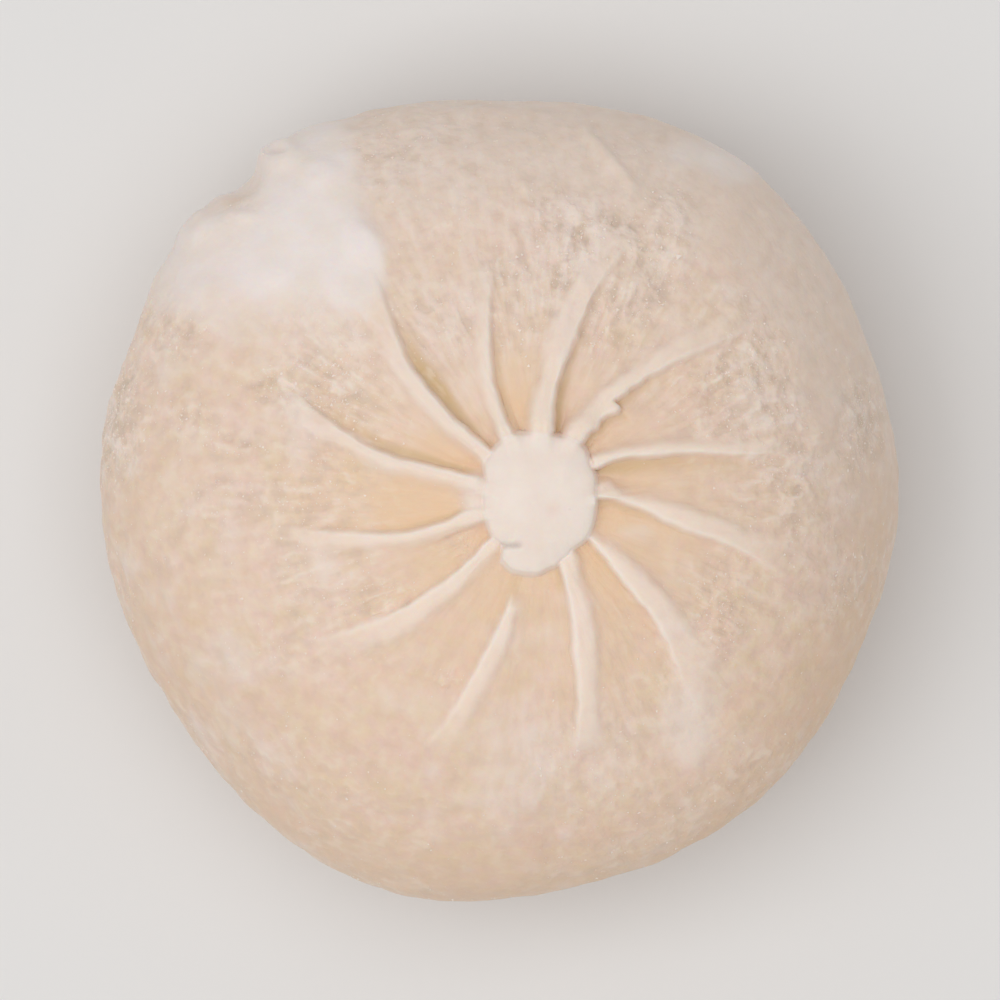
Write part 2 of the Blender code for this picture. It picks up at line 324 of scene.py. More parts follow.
def pleat_relief(number, share, distance):
    """Height of the dough over the plain round, and masks of the ribs' bands and of the folds between them.
    A band is level over its width and falls off by a soft step, gently behind it and steeply ahead of it,
    where a groove runs along its foot. The panel between two bands slopes slowly from one to the next."""
    gap = crest_direction(number + 1, distance) - crest_direction(number, distance)
    spacing = np.radians(gap) * distance
    beyond = np.maximum(distance - KNOT_FOOT, 0.0)
    near_knot = np.exp(-(beyond / FLARE_REACH) ** 2)

    def out(row):
        """Share of the rib's reach that lies behind this distance."""
        return rising(distance, KNOT_FOOT, PLEATS[row, 3] * MM - KNOT_FOOT)

    def begun(row):
        """Share of the rib that has risen by this distance, from its start on."""
        return np.clip((distance / MM - RIB_BANDS[row, 4]) / RIB_BEGINS_OVER + 1.0, 0.0, 1.0)

    def size(row):
        """Height share of the rib: it tapers outward, dies out by its power and varies by a slow wave."""
        uneven = 1.0 + RIB_HEIGHT_VARIES * np.sin(distance / RIB_HEIGHT_SPAN + 3.1 * row)
        ends = 1.0 - out(row) ** PLEATS[row, 5]
        return PLEATS[row, 4] * ends * (1.0 - PLEAT_TAPER * out(row)) * uneven * begun(row)

    def half_width(row, side):
        """Half width of the rib on its gentle side (0) or its steep side (1), varied by three waves, flared
        at the knot, and kept within its share of the room between two ribs."""
        uneven = 1.0 + RIB_WIDTH_VARIES * np.sin(distance / RIB_WIDTH_SPAN + 1.3 * row + side)
        uneven += RIB_EDGE_VARIES * np.sin(distance / RIB_EDGE_SPANS[0] + 2.1 * row + 4.0 * side)
        uneven += RIB_EDGE_VARIES * np.sin(distance / RIB_EDGE_SPANS[1] + 3.7 * row + 2.0 * side)
        width = RIB_BANDS[row, 0] + (RIB_BANDS[row, 1] - RIB_BANDS[row, 0]) * out(row)
        half = 0.5 * width * uneven
        if side:
            half = np.where(row == TORN_RIB, np.interp(distance / MM, *TORN_EDGE), half)
        return np.minimum((half + RIB_BANDS[row, 2 + side] * near_knot) * MM, BAND_ROOM * spacing)

    def step(away, half, slope):
        """Level band of a half width that falls off by a soft step, scaled to 1 in its middle."""
        slope = np.minimum(slope, SLOPE_ROOM * spacing)
        return inside(away, half, slope) / inside(0.0, half, slope)

    behind = number % PLEAT_COUNT
    ahead = (number + 1) % PLEAT_COUNT
    after = share * spacing
    before = (1.0 - share) * spacing
    half_after = half_width(behind, 0)
    half_before = half_width(ahead, 1)
    band_after = step(after, half_after, BAND_SLOPE_GENTLE)
    band_before = step(before, half_before, BAND_SLOPE_STEEP)
    panel = PANEL_SHARE * np.exp(-(share / PANEL_SPREAD) ** 2) * (1.0 - share ** 4)
    gentle = panel + (1.0 - PANEL_SHARE) * band_after
    from_deepest = (distance - KNOT_FOOT) / MM - RIB_BANDS[ahead, 10]
    near = RIB_BANDS[ahead, 5] * np.exp(-(from_deepest / RIB_BANDS[ahead, 6]) ** 2)
    fold_width = RIB_BANDS[ahead, 7] * MM + RIB_BANDS[ahead, 8] * beyond
    fold_width = np.clip(fold_width, FOLD_NARROWEST, FOLD_WIDEST)
    groove = GROOVE_SHARE * np.exp(-((before - half_before - 0.8 * fold_width) / fold_width) ** 2)
    groove = groove * (1.0 - band_before) * near
    relief = BAND_HEIGHT * (size(behind) * gentle + size(ahead) * (band_before - groove))
    crest = band_after * begun(behind) * (1.0 - out(behind) ** (PLEATS[behind, 5] + 1.0))
    crest += band_before * begun(ahead) * (1.0 - out(ahead) ** (PLEATS[ahead, 5] + 1.0))
    # A painted highlight runs along the brink of the steep side, on its frosted edge.
    brink_highlight = np.exp(-((before - half_before + BRINK_INSIDE) / BRINK_WIDTH) ** 2) * (1.0 - out(ahead) ** 2)
    brink_highlight = brink_highlight * begun(ahead)
    # Beside a steep side the fold is painted in shade, darker and warmer, where the dough also has less
    # frost.
    beside = np.maximum(before - half_before - 0.08 * MM, 0.0)
    deep_fold_shade = np.exp(-(beside / (1.15 * fold_width)) ** 4) * near * (1.0 - crest)
    # The panels' warmth is partly the dough's own unfrosted colour and partly painted bounce light.
    warm = WARM_ALONG * (1.0 - out(ahead) ** 2)
    warm += WARM_BY_KNOT * np.exp(-((distance - KNOT_FOOT) / WARM_REACH) ** 2)
    fold = warm * RIB_BANDS[behind, 9] * (1.0 - crest)
    return relief, np.clip(crest, 0.0, 1.0), np.clip(fold, 0.0, 1.0), deep_fold_shade, brink_highlight


def knot_relief(x, y):
    """Height change on the knot: a short crease by its edge, the lobe just below it, and a small dent. Also
    how deep the crease and the dent are there, from 0 to 1."""
    crease = np.exp(-((x - CREASE[0]) / CREASE[2]) ** 4 - ((y - CREASE[1]) / CREASE[3]) ** 2)
    lobe = LOBE_DROP * inside(y, CREASE[1], LOBE_SLOPE)
    dent = np.exp(-((x - DENT[0]) ** 2 + (y - DENT[1]) ** 2) / DENT[2] ** 2)
    return -CREASE[4] * crease - lobe - DENT[3] * dent, crease, dent


def collar_share(direction, beyond):
    """How high the ledge beside the knot stands, as a share of the knot's rise: a bell over the direction,
    cut off by a soft step where the ledge ends."""
    toward, spread, reach, rise = COLLAR
    beside = near_heading(direction, toward, spread)
    return rise * beside * inside(beyond, reach * beside, COLLAR_EDGE)


def flow_fill(direction, round_distance, down, beyond):
    """How far the knot's rounded edge is filled up where it flows into a rib: the drop from the knot's top,
    times the flow's bell over the direction and its reach outward."""
    flow = np.zeros_like(direction)
    for toward, spread, fully in FLOWS:
        flow = np.maximum(flow, fully * near_heading(direction, toward, spread))
    dropped = KNOT_CAP * (1.0 - np.cos(0.5 * np.pi * np.clip(down, 0.0, 1.0)))
    dropped *= np.clip(round_distance / KNOT_RADIUS, 0.0, 1.0) ** 6
    return FLOW_FILLS * flow * dropped * np.exp(-(beyond / FLOW_REACH) ** 2)


def dumpling_surface(turn, down):
    """Points of the dumpling. turn counts pleats anticlockwise round the knot, down is the place on the half
    section. The point is turned to its place between two crests, drawn out to the uneven plan, and raised
    square to the round body by the ribs. Also gives masks from 0 to 1 for the material."""
    round_distance, height = half_section(down)
    number = np.floor(turn + 1e-6).astype(int)
    share = np.clip(turn - number, 0.0, 1.0)
    share = share - COLUMN_GATHER / (2.0 * np.pi) * np.sin(2.0 * np.pi * share)
    upper = down <= 3.0
    on_knot = down <= 2.0
    wall = np.clip(2.0 - down, 0.0, 1.0)
    drawn_in = np.where(upper, 1.0, round_distance / OUTLINE_RADIUS)
    plain = np.where(upper, round_distance, OUTLINE_RADIUS)
    distance = plain
    # The crests bend with the distance, so place and direction are worked out together, in three rounds.
    for _ in range(3):
        start = crest_direction(number, distance)
        direction = start + share * (crest_direction(number + 1, distance) - start)
        distance = stretched(plain, direction)
    heading = np.radians(direction)
    x = BASE_OFFSET[0] * (1.0 - drawn_in) + drawn_in * distance * np.cos(heading)
    y = BASE_OFFSET[1] * (1.0 - drawn_in) + drawn_in * distance * np.sin(heading)

    fade = np.where(on_knot, 1.0 - wall, 1.0) * upper
    relief, crest, fold, deep_fold_shade, brink_highlight = pleat_relief(number, share, np.maximum(distance, KNOT_FOOT))
    rim_rise = KNOT_TOP - KNOT_CAP - half_section(np.array([2.0]))[1]
    beyond = np.maximum(round_distance - KNOT_FOOT, 0.0)
    ceiling = CEILING_SHARE * rim_rise + CEILING_SLOPE * beyond
    relief = relief / (1.0 + np.maximum(relief / ceiling, 0.0) ** 6) ** (1.0 / 6.0)
    collar = collar_share(direction, beyond)
    relief = np.maximum(relief, collar * rim_rise)
    filled = flow_fill(direction, round_distance, down, beyond) * upper
    # Square to the round body, taken as an ellipse with the same half axes.
    outward = round_distance / OUTLINE_RADIUS ** 2
    upward = (height - WIDEST_HEIGHT) / (BODY_HEIGHT - WIDEST_HEIGHT) ** 2
    length = np.maximum(np.hypot(outward, upward), 1e-9)
    outward = np.where(on_knot | ~upper, 0.0, outward / length)
    upward = np.where(on_knot, 1.0, upward / length)
    relief = relief * fade

    swell = np.sin(np.pi * np.clip(height / WIDEST_HEIGHT, 0.0, 2.0))
    for waves, size, first in SIDE_WAVES:
        bulge = swell * size * np.sin(waves * heading + np.radians(first))
        x = x + bulge * np.cos(heading)
        y = y + bulge * np.sin(heading)
    pressed, crease, dent = knot_relief(x, y)
    points = np.column_stack((
        x + relief * outward * np.cos(heading),
        y + relief * outward * np.sin(heading),
        height + relief * upward + filled + pressed * on_knot * wall,
    ))
    collar = np.clip(1.3 * collar, 0.0, 1.0) * fade
    masks = {
        "crest": crest * fade,
        "fold": fold * fade * (1.0 - collar),
        "deep_fold_shade": deep_fold_shade * fade * (1.0 - collar),
        "brink_highlight": brink_highlight * fade,
        "knot": np.maximum(np.clip(on_knot * (0.3 + wall * 1.3), 0.0, 1.0), COLLAR_PALE * collar),
        "blush": on_knot * dent,
        "crease": crease * on_knot * wall,
    }
    return points, masks, direction, np.where(upper, distance, OUTLINE_RADIUS)


def even_rings():
    """Places on the half section of every ring, equally far apart within each zone, and on the shoulder
    closer together towards the knot."""
    rings = [np.array([0.0])]
    for zone, count in enumerate((CAP_RINGS, WALL_RINGS, BODY_RINGS, SIDE_RINGS, BASE_RINGS)):
        fine = np.linspace(zone, zone + 1.0, 2001)
        length = length_along(*half_section(fine))
        gather = BODY_RING_GATHER if zone == 2 else 1.0
        rings.append(np.interp(length[-1] * np.linspace(0.0, 1.0, count + 1)[1:] ** gather, length, fine))
    return np.concatenate(rings)[1:-1]


def grid_faces(rings, columns):
    """Quads between neighbouring rings and columns, and a fan of triangles round each of the two poles."""
    ring, column = np.meshgrid(np.arange(rings - 1), np.arange(columns), indexing="ij")
    here = ring * columns + column
    there = ring * columns + (column + 1) % columns
    quads = np.stack((here, here + columns, there + columns, there), axis=-1).reshape(-1, 4)
    one = np.arange(columns)
    two = (one + 1) % columns
    top = np.full(columns, rings * columns)
    last = (rings - 1) * columns
    upper = np.stack((top, one, two), axis=-1)
    lower = np.stack((top + 1, last + two, last + one), axis=-1)
    return quads, np.concatenate((upper, lower))


def make_mesh(name, points, faces, smooth):
    """A mesh object from arrays of points and of faces. It stays at the origin, its place in its points."""
    mesh = bpy.data.meshes.new(name)
    corners = np.concatenate([group.ravel() for group in faces])
    sizes = np.concatenate([np.full(len(group), group.shape[1]) for group in faces])
    starts = np.concatenate(([0], np.cumsum(sizes)[:-1]))
    mesh.vertices.add(len(points))
    mesh.vertices.foreach_set("co", points.astype(np.float32).ravel())
    mesh.loops.add(len(corners))
    mesh.loops.foreach_set("vertex_index", corners.astype(np.int32))
    mesh.polygons.add(len(sizes))
    mesh.polygons.foreach_set("loop_start", starts.astype(np.int32))
    mesh.polygons.foreach_set("loop_total", sizes.astype(np.int32))
    mesh.update(calc_edges=True)
    mesh.validate()
    mesh.polygons.foreach_set("use_smooth", np.full(len(sizes), smooth))
    thing = bpy.data.objects.new(name, mesh)
    bpy.context.scene.collection.objects.link(thing)
    return thing


def point_normals(points, quads, fans):
    """Direction square to the surface at every point: the sum of its faces' own, made one long."""
    normals = np.zeros_like(points)
    across = np.cross(points[quads[:, 2]] - points[quads[:, 0]], points[quads[:, 3]] - points[quads[:, 1]])
    for corner in range(4):
        np.add.at(normals, quads[:, corner], across)
    across = np.cross(points[fans[:, 1]] - points[fans[:, 0]], points[fans[:, 2]] - points[fans[:, 0]])
    for corner in range(3):
        np.add.at(normals, fans[:, corner], across)
    return normals / np.linalg.norm(normals, axis=1)[:, None]


def give_masks(thing, masks):
    """Keeps each mask on the mesh's points, where the material reads it."""
    for name, values in masks.items():
        layer = thing.data.attributes.new(name, "FLOAT", "POINT")
        layer.data.foreach_set("value", values.astype(np.float32))


rings = even_rings()
columns = COLUMNS_PER_PLEAT * PLEAT_COUNT
down, turn = np.meshgrid(rings, np.arange(columns) / COLUMNS_PER_PLEAT, indexing="ij")
down = np.concatenate((down.ravel(), [0.0, 5.0]))
turn = np.concatenate((turn.ravel(), [0.0, 0.0]))
body, masks, direction, distance = dumpling_surface(turn, down)
body[:, :2] -= 0.5 * (body[:, :2].max(axis=0) + body[:, :2].min(axis=0))
quads, fans = grid_faces(len(rings), columns)
normals = point_normals(body, quads, fans)

# Frost lies as a thin veil on the shoulders, most towards the top of the plan (a heading in degrees). Its
# strength is the sum of these shares, less the last two in the warm and in the deep folds.
VEIL_TOWARDS = 95.0
VEIL_EVERYWHERE = 0.08
VEIL_OUTER = 0.05
VEIL_FACING = 0.62
VEIL_PATCHY = 0.25
VEIL_OFF_WARM = 0.2
VEIL_OFF_DEEP = 0.7
# One thick smooth sheet covers the upper left shoulder: its blobs are middle and half size in plan (mm).
SHEET = (
    (-10.9, 18.6, 3.0, 3.6), (-10.6, 13.9, 3.8, 3.4), (-16.0, 13.5, 4.4, 3.4), (-8.2, 12.8, 1.7, 2.2),
)
SHEET_THICKNESS = 0.34 * MM
# Raggedness of its edge (a share) and of its hem (mm), each with the size of the lumps (mm).
SHEET_RAGGED = ((0.22, 1.9), (0.12, 0.9))
HEM_RAGGED = ((1.2, 3.6), (1.8, 1.3))
# Over the side it hangs down as one patch: heading and half spread (degrees). Then the height of its ragged
# foot, and the height up to which it hangs, above which the blobs take over.
SHEET_HANGS = (134.0, 19.0)
SHEET_FOOT = 8.0 * MM
SHEET_HANGS_FROM = 20.0 * MM
# Lumps of the sheet and one dip between them: middle, half size and height (mm).
SHEET_LUMPS = (
    (-12.3, 19.3, 1.2, 0.85, 0.42), (-14.6, 15.9, 0.9, 0.36, 0.34), (-17.3, 15.4, 1.7, 1.0, 0.42),
    (-10.2, 18.3, 1.2, 0.8, 0.30), (-8.0, 14.8, 1.0, 1.5, 0.26), (-16.2, 11.8, 1.3, 0.8, 0.22),
    (-12.6, 12.6, 1.0, 0.8, 0.20), (-12.4, 19.45, 0.55, 0.26, -0.34),
)
# Paler spots of thin frost, and spots that have less of it: middle and half size in plan (mm), and how
# strong. The first one lies on the end of a rib. The fourth paints the frost paler as a highlight along the
# upper right limb.
SPOTS = (
    (10.7, -12.4, 1.6, 2.7, 0.45), (1.0, -14.2, 2.8, 3.2, 0.6), (-15.6, -8.4, 1.2, 1.6, 0.5),
    (12.0, 18.8, 3.6, 1.6, 0.6), (-2.0, 19.0, 3.0, 2.0, 0.3), (6.3, -13.2, 1.8, 2.2, 0.3),
    (-9.0, 6.2, 2.2, 2.0, -0.30), (-10.5, 1.6, 3.2, 2.6, -0.30), (6.0, 9.3, 1.5, 1.8, -0.30),
    (11.8, 5.8, 2.0, 1.5, -0.25),
)
# Hollow in the upper left side, under the sheet: middle, half size and depth (mm).
HOLLOW = (-14.9, 18.4, 1.5, 1.2, 0.75)
# Light film of frost on the upper right shoulder, painted brighter as a highlight along its limb: middles,
# half sizes (mm) and how strong.
FROST_FILM_HIGHLIGHT = ((11.2, 19.7, 1.9, 0.95, 0.62), (13.2, 18.8, 1.6, 1.0, 0.68))
# Rough places between the pleats and on the left and right rim: middle, half size (mm) and how strong.
ROUGH_SPOTS = (
    (-11.2, 6.4, 2.8, 1.4, 1.00), (-6.2, -5.6, 2.2, 1.1, 0.60), (-3.2, -10.0, 0.7, 0.6, 0.60),
    (12.2, -6.4, 1.3, 2.4, 0.40), (9.6, 15.4, 1.5, 2.6, 0.40), (20.4, 4.4, 1.4, 2.8, 0.65),
    (-21.4, 4.2, 1.2, 3.0, 0.65), (-17.8, 4.8, 1.8, 1.6, 0.45), (-14.9, 3.1, 1.7, 0.9, 0.45),
)
# Low fold of dough beyond the pleats: its two ends in plan, half width and height (mm).
LOW_FOLD = (4.8, 20.8, 7.4, 17.8, 0.34, 0.28)
LOW_FOLD_FROM = 15.0 * MM
# Down the sides the film and the rough places die out: height at which they start, and over how much more
# height they come to their full strength. The smooth band does so with the film.
FILM_RISES = (8.0 * MM, 4.0 * MM)
ROUGH_RISES = (7.0 * MM, 6.0 * MM)
# Headings on which the dough is roughest, smoothest and warmest, the warmest side also painted darker as
# shade, and half spread of the smooth band, all in degrees.
ROUGH_TOWARDS = 80.0
SMOOTH_TOWARDS = 62.0
SMOOTH_SPREAD = 62.0
WARM_SHADE_TOWARDS = 330.0
# Relief, as the height and the size of its lumps (mm): of the dough all over, of the dough off the knot, of
# the dough off the knot and the sheet, of the knot, and of the sheet.
DOUGH_ROLLING = (0.08, 4.5)
DOUGH_DIMPLED = (0.09, 1.8)
DOUGH_PITTED = (0.035, 0.9)
KNOT_KNEADED = (0.03, 1.3)
SHEET_UNEVEN = (0.05, 1.4)
# Strokes drawn out along the pleats: their height (mm) on smooth dough, what full roughness adds to it, how
# many lumps a radian round the knot, and their length. Then the height of the crumb in the roughest dough,
# and the thickness of a full spot of frost.
STROKES_SMOOTH = 0.03
STROKES_ROUGH = 0.07
STROKES_ROUND = 22.0
STROKES_LENGTH = 1.5 * MM
CRUMB_HEIGHT = 0.13 * MM
SPOT_THICKNESS = 0.12 * MM
# Height over which the relief dies out towards the table.
RESTING_HEIGHT = 0.6 * MM
# Drum on which the material's strokes are laid: distance from the knot's middle at which it is fully round,
# and the way down the dough that counts as long as the drum's radius.
DRUM_RADIUS = 5.0 * MM
DRUM_LENGTH = 40.0 * MM


def blobs(x, y, rows):
    """Sum of flat-topped bells: each falls off as the fourth power of the distance from its middle."""
    total = np.zeros(len(x))
    for row in rows:
        away = ((x / MM - row[0]) / row[2]) ** 2 + ((y / MM - row[1]) / row[3]) ** 2
        total += (row[4] if len(row) > 4 else 1.0) * np.exp(-away ** 2)
    return total


def lumpy(points, high, wide, seed):
    """Noise over the points with the given height and size of its lumps (mm)."""
    return high * MM * noise(points, wide * MM, seed)


def ridge(x, y, row):
    """A long low bump in plan: a bell over the distance from the line between its two ends."""
    start = np.array(row[:2]) * MM
    line = np.array(row[2:4]) * MM - start
    share = np.clip(((x - start[0]) * line[0] + (y - start[1]) * line[1]) / (line @ line), 0.0, 1.0)
    away = np.hypot(x - start[0] - share * line[0], y - start[1] - share * line[1])
    return row[5] * MM * np.exp(-(away / (row[4] * MM)) ** 2)


height = body[:, 2]
way = way_down(down)
# Plan place of every point; under the widest ring it is that ring's, straight above.
widest = CAP_RINGS + WALL_RINGS + BODY_RINGS - 1
plan = body[:-2, :2].reshape(len(rings), columns, 2).copy()
plan[widest:] = plan[widest]
x, y = np.concatenate((plan.reshape(-1, 2), body[-2:, :2])).T

# The sheet: its blobs and the patch that hangs down, cut off at a ragged hem. In plan its edge is softest
# towards the middle of the dumpling and crispest on the right.
ragged = np.zeros(len(body))
for seed, (share, size) in enumerate(SHEET_RAGGED, 13):
    ragged += share * noise(body, size * MM, seed)
hem = SHEET_FOOT + lumpy(body, *HEM_RAGGED[0], 15) + lumpy(body, *HEM_RAGGED[1], 16)
above = rising(height, hem, 4.0 * MM)
narrows = 0.7 + 0.3 * rising(height, SHEET_FOOT, 8.0 * MM)
aside = turn_between(direction, SHEET_HANGS[0]) / (SHEET_HANGS[1] * narrows)
hanging = np.exp(-aside ** 4)
hanging *= falling(height, SHEET_HANGS_FROM, 4.0 * MM)
hanging *= 0.65 + 0.35 * falling(height, 15.5 * MM, 2.5 * MM)
above *= np.where(height < WIDEST_HEIGHT, np.clip(1.6 - np.clip(aside, -1.5, 1.5) ** 2, 0.0, 1.0), 1.0)
covered = np.maximum(blobs(x, y, SHEET), 0.9 * hanging) * above + ragged
softness = 0.50 - 0.28 * rising(x / MM, -14.0, 8.0) + 0.30 * falling(y / MM, 13.5, 3.0)
sheet = (0.5 + 0.5 * np.tanh((covered - 0.5) / softness)) * rising(covered, 0.05, 0.2)
# The film is frost with a painted highlight along the upper right limb; the sheet mask carries it.
film_highlight = np.minimum(blobs(x, y, FROST_FILM_HIGHLIGHT), 1.0) * rising(height, *FILM_RISES)
masks["sheet"] = np.maximum(sheet, film_highlight)

# The veil: patchy, most towards one heading, and little of it in the folds.
outer = rising(distance, 5.0 * MM, 7.0 * MM)
patchy = noise(body, 5.0 * MM, 11) + 0.6 * noise(body, 2.2 * MM, 12)
facing = (0.5 + 0.5 * np.cos(np.radians(direction - VEIL_TOWARDS))) ** 2.0
veil = outer * (VEIL_OUTER + VEIL_FACING * facing + VEIL_PATCHY * patchy) + blobs(x, y, SPOTS)
veil += VEIL_EVERYWHERE
veil = veil - VEIL_OFF_WARM * masks["fold"] - VEIL_OFF_DEEP * masks["deep_fold_shade"]
masks["frost"] = np.clip(veil, 0.0, 1.0)

# The grain: dry crumbly dough out on the shoulders, in patches between the pleats and in the rough places. A
# smooth band runs outside it towards one heading.
off_knot = 1.0 - masks["knot"]
off_crest = 1.0 - masks["crest"]
off_sheet = 1.0 - masks["sheet"]
limb = rising(height, 15.0 * MM, 6.0 * MM)
below_limb = 0.55 + 0.3 * inside(x, 0.0, 6.0 * MM)
grain = rising(distance, 7.0 * MM, 5.0 * MM) * (limb + (1.0 - limb) * below_limb)
grain *= 0.66 + 0.34 * np.cos(np.radians(direction - ROUGH_TOWARDS))
grain *= np.clip(0.75 + 0.9 * patchy, 0.3, 1.0) * (1.0 - 0.75 * masks["crest"]) * off_sheet
masks["even"] = near_heading(direction, SMOOTH_TOWARDS, SMOOTH_SPREAD) * rising(way / MM, 17.5, 3.0)
masks["even"] *= rising(height, *FILM_RISES)
patches = np.clip(1.6 * noise(body, 2.4 * MM, 17) - 0.15, 0.0, 1.0) * off_crest * off_knot
grain = np.maximum(grain * (1.0 - 0.8 * masks["even"]), 0.30 * patches * off_sheet)
grain += blobs(x, y, ROUGH_SPOTS) * rising(height, *ROUGH_RISES) * (1.0 - 0.7 * masks["crest"])

# The frosted end of one rib and the low fold are as pale as the crests.
masks["crest"] = np.maximum(masks["crest"], np.clip(2.0 * blobs(x, y, SPOTS[:1]), 0.0, 0.9))
low_fold = ridge(x, y, LOW_FOLD) * (height > LOW_FOLD_FROM)
masks["crest"] = np.maximum(masks["crest"], low_fold / (LOW_FOLD[5] * MM))
masks["grain"] = np.clip(grain, 0.0, 1.0) * (1.0 - 0.6 * masks["crest"])
# Bare warm dough down the sides, darkened as painted shade, most towards one heading.
warm_shade_side = 0.5 + 0.5 * np.cos(np.radians(direction - WARM_SHADE_TOWARDS))
masks["bare_and_shade"] = falling(height, 25.0 * MM, 8.0 * MM) * (0.28 + 0.72 * warm_shade_side)
masks["bare_and_shade"] *= (0.45 + 0.55 * rising(height, *ROUGH_RISES)) * (1.0 + 0.3 * patchy)
masks["bare_and_shade"] *= off_sheet * np.clip(1.15 - masks["frost"], 0.0, 1.0)

# Relief of the dough and of the frost, none of it where the dumpling rests.
resting = rising(height, 0.0, RESTING_HEIGHT)
lumps = lumpy(body, *DOUGH_ROLLING, 21) + lumpy(body, *DOUGH_DIMPLED, 22) * off_knot
lumps += lumpy(body, *DOUGH_PITTED, 29) * off_knot * off_sheet
lumps -= MM * blobs(x, y, (HOLLOW,)) * rising(height, 6.0 * MM, 7.0 * MM)
lumps += low_fold
strokes = along_ribs(direction, way, STROKES_ROUND, STROKES_LENGTH, 23)
strokes *= (STROKES_SMOOTH + STROKES_ROUGH * masks["grain"]) * MM * off_knot
crumbly = noise(body, 1.3 * MM, 24) + 0.5 * noise(body, 0.7 * MM, 27)
crumbly *= masks["grain"] * CRUMB_HEIGHT
kneaded = masks["knot"] * lumpy(body, *KNOT_KNEADED, 28)
thickness = SHEET_THICKNESS + lumpy(body, *SHEET_UNEVEN, 25)
clumps = sheet * (thickness + MM * blobs(x, y, SHEET_LUMPS)) + SPOT_THICKNESS * blobs(x, y, SPOTS)
body += normals * ((lumps + strokes + crumbly + kneaded + clumps) * resting)[:, None]
body[:, 2] = np.maximum(body[:, 2], 0.0)

wrapper = make_mesh("wrapper", body, (quads, fans), True)
give_masks(wrapper, masks)
# Place on the drum round the knot, by which the material draws its strokes out along the pleats.
round_drum = rising(distance, 0.0, DRUM_RADIUS) * falling(down, 5.0, 1.0)
drum = np.column_stack((
    round_drum * np.cos(np.radians(direction)),
    round_drum * np.sin(np.radians(direction)),
    way / DRUM_LENGTH,
))
layer = wrapper.data.attributes.new("drum", "FLOAT_VECTOR", "POINT")
layer.data.foreach_set("vector", drum.astype(np.float32).ravel())


def blend_colour(tree, factor, first, second):
    """A mix of two colours, each a value or a socket, by a socket's share of the second."""
    node = tree.nodes.new("ShaderNodeMix")
    node.data_type = "RGBA"
    tree.links.new(factor, node.inputs[0])
    for socket, value in ((node.inputs[6], first), (node.inputs[7], second)):
        if isinstance(value, tuple):
            socket.default_value = (*value, 1.0)
        else:
            tree.links.new(value, socket)
    return node.outputs[2]


def remap(tree, value, low, high, to_low, to_high):
    """Straight change of range from low..high to to_low..to_high, held at its ends."""
    node = tree.nodes.new("ShaderNodeMapRange")
    tree.links.new(value, node.inputs[0])
    for number, limit in enumerate((low, high, to_low, to_high), 1):
        node.inputs[number].default_value = limit
    return node.outputs[0]


def mask(tree, name):
    """A mask kept on the mesh's points."""
    node = tree.nodes.new("ShaderNodeAttribute")
    node.attribute_name = name
    return node.outputs["Fac"]


def combine(tree, operation, first, second):
    """Two numbers, each a value or a socket, added or multiplied."""
    node = tree.nodes.new("ShaderNodeMath")
    node.operation = operation
    for socket, value in ((node.inputs[0], first), (node.inputs[1], second)):
        if isinstance(value, (int, float)):
            socket.default_value = value
        else:
            tree.links.new(value, socket)
    return node.outputs[0]


def mask_times(tree, name, share):
    """A mask kept on the mesh's points, times a share."""
    return combine(tree, "MULTIPLY", mask(tree, name), share)


def texture(tree, place, scale, detail, roughness):
    """Noise over a place; scale is how many cells go into one unit of it."""
    node = tree.nodes.new("ShaderNodeTexNoise")
    tree.links.new(place, node.inputs["Vector"])
    node.inputs["Scale"].default_value = scale
    node.inputs["Detail"].default_value = detail
    node.inputs["Roughness"].default_value = roughness
    return node.outputs["Fac"]


# Noise in the dough: cells a metre (for the strokes, a radian of the drum), detail and roughness.
CLOUDY = (330.0, 3.0, 0.55)
GRAINY = (1450.0, 1.5, 0.45)
FINE = (4000.0, 1.0, 0.5)
BLOTCHY = (850.0, 2.0, 0.5)
STROKED = (23.0, 1.5, 0.5)
# Range that holds most of a noise's values.
MOST = (0.38, 0.62)
# Colours of the dough and of what lies on it.
DOUGH_ROSY = (0.84, 0.615, 0.51)
DOUGH_CREAM = (0.815, 0.635, 0.455)
DOUGH_FOLD_WARM_AND_BOUNCE = (0.85, 0.62, 0.425)
DOUGH_DEEP_SHADE = (0.68, 0.49, 0.285)
DOUGH_BARE_SHADED = (0.78, 0.545, 0.36)
DOUGH_SHADY = (0.70, 0.51, 0.37)
DOUGH_PALE = (0.90, 0.74, 0.63)
DOUGH_CREST_FROST_AND_HIGHLIGHT = (0.945, 0.797, 0.69)
DOUGH_BRINK_HIGHLIGHT = (0.97, 0.86, 0.79)
DOUGH_KNOT = (0.89, 0.765, 0.68)
DOUGH_KNOT_PALE = (0.92, 0.815, 0.735)
DOUGH_EVEN = (0.81, 0.667, 0.565)
DOUGH_BLUSH = (0.88, 0.70, 0.62)
DOUGH_CREASE_SHADE = (0.56, 0.50, 0.45)
VEIL = (0.87, 0.73, 0.645)
SHEET_COOL = (0.90, 0.81, 0.775)
SHEET_WARM = (0.885, 0.785, 0.72)
PIT_SHADE = (0.66, 0.515, 0.395)
CRUMB = (0.94, 0.80, 0.70)

